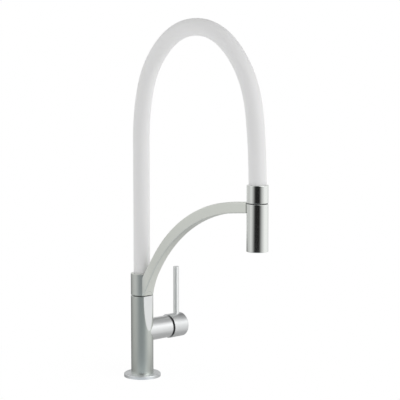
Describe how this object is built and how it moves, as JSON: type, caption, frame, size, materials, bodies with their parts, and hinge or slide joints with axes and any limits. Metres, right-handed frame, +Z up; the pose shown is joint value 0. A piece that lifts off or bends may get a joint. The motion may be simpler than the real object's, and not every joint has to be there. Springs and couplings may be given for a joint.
{
  "type": "pull-out kitchen faucet",
  "caption": "Single-lever kitchen faucet: slim column with side lever, curved swivel arm, and a thick arched hose carrying a pull-out tubular spray head.",
  "frame": {"origin": "centre of the base flange's underside, where the column's axis meets the deck", "axes": "+Z up the column, +X along the support arm to the spray head, +Y out along the lever branch"},
  "size_m": [0.2913, 0.1073, 0.5414],
  "materials": {
    "satin_steel": "satin brushed",
    "plain_steel": "plain",
    "chrome": "polished",
    "chrome_plastic": "plated",
    "brass": "machined",
    "black_rubber": "matte",
    "white_silicone": "satin",
    "inner_tube": "matte",
    "black_plastic": "matte",
    "white_plastic": "matte",
    "ceramic": "ground",
    "magnet": "nickel plated"
  },
  "bodies": {
    "mixer": {"base_flange": "satin_steel", "base_seal": "black_rubber", "mixer_body": "satin_steel", "neck_spigot": "brass", "neck_o_rings": "black_rubber", "neck_slide_ring": "black_plastic", "cartridge_seals": "black_rubber", "cartridge_base": "white_plastic", "fixed_disc": "ceramic", "cartridge_shell": "white_plastic", "cartridge_nut": "brass", "bonnet_ring": "black_plastic"},
    "rotor": {"cartridge_rotor": "white_plastic", "pivot_pin": "plain_steel"},
    "slider": {"moving_disc": "ceramic"},
    "lever": {"lever_stem": "plain_steel", "lever_cap": "satin_steel", "lever_rod": "satin_steel", "lever_grub_screw": "plain_steel", "screw_plug": "satin_steel"},
    "arm": {"support_arm": "satin_steel", "arm_lock_screw": "plain_steel", "dock_magnet": "magnet", "dock_pad": "black_plastic", "hose_nipple_lower": "brass", "nipple_o_ring": "black_rubber", "hose_ferrule_lower": "plain_steel", "inner_hose": "inner_tube", "hose_sleeve": "white_silicone"},
    "hose_end": {"head_collar": "chrome", "hose_nipple_upper": "brass", "hose_ferrule_upper": "plain_steel", "swivel_ring": "black_plastic", "spindle_clip": "plain_steel", "spindle_o_ring": "black_rubber"},
    "spray_head": {"spray_shell": "chrome", "keeper_ring": "plain_steel", "spray_core": "white_plastic", "filter_washer": "black_rubber", "check_valve": "white_plastic", "aerator_seal": "black_rubber", "aerator_housing": "chrome_plastic", "aerator_insert": "black_plastic"}
  },
  "joints": [
    {"name": "arm_swivel", "type": "hinge", "parent": "mixer", "child": "arm", "pos_m": [0, 0, 0.1266], "axis": [0, 0, 1], "continuous": true},
    {"name": "lever_turn", "type": "hinge", "parent": "mixer", "child": "rotor", "pos_m": [0, 0.049, 0.07], "axis": [0, 1, 0], "range_deg": [-45, 45]},
    {"name": "lever_tilt", "type": "hinge", "parent": "rotor", "child": "lever", "pos_m": [0, 0.037, 0.07], "axis": [-1, 0, 0], "range_deg": [0, 20]},
    {"name": "disc_slide", "type": "slide", "parent": "rotor", "child": "slider", "axis": [0, 0, 1], "range_m": [0, 0.004]},
    {"name": "head_pull", "type": "slide", "parent": "arm", "child": "hose_end", "axis": [0, 0, -1], "range_m": [0, 0.15]},
    {"name": "head_spin", "type": "hinge", "parent": "hose_end", "child": "spray_head", "pos_m": [0.248, 0, 0.283], "axis": [0, 0, 1], "continuous": true}
  ],
  "couplings": [
    {"joint": "disc_slide", "follows": "lever_tilt", "m_per_rad": 0.01127}
  ]
}
